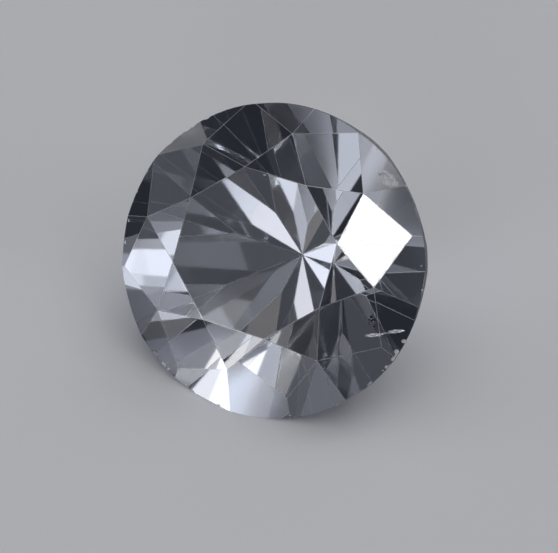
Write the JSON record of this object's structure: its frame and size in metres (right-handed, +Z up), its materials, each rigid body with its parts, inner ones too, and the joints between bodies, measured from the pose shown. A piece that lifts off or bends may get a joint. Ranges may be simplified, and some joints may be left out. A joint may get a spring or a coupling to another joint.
{
  "type": "faceted apophyllite gemstone",
  "caption": "Colourless transparent round brilliant cut crystal, lying tilted on one pavilion facet with its table facing forward.",
  "frame": {"origin": "on the surface that the stone lies on, below the centre of its bounding box", "axes": "+Z up from that surface, -Y towards the viewer that the table leans to, +X to the viewer's right"},
  "size_m": [0.0088, 0.0068, 0.0068],
  "materials": {
    "clear_crystal": "polished flat facets, clear and colourless, with a feather, a few dark specks and a chipped girdle"
  },
  "bodies": {
    "root": {"stone": "clear_crystal"}
  },
  "joints": []
}
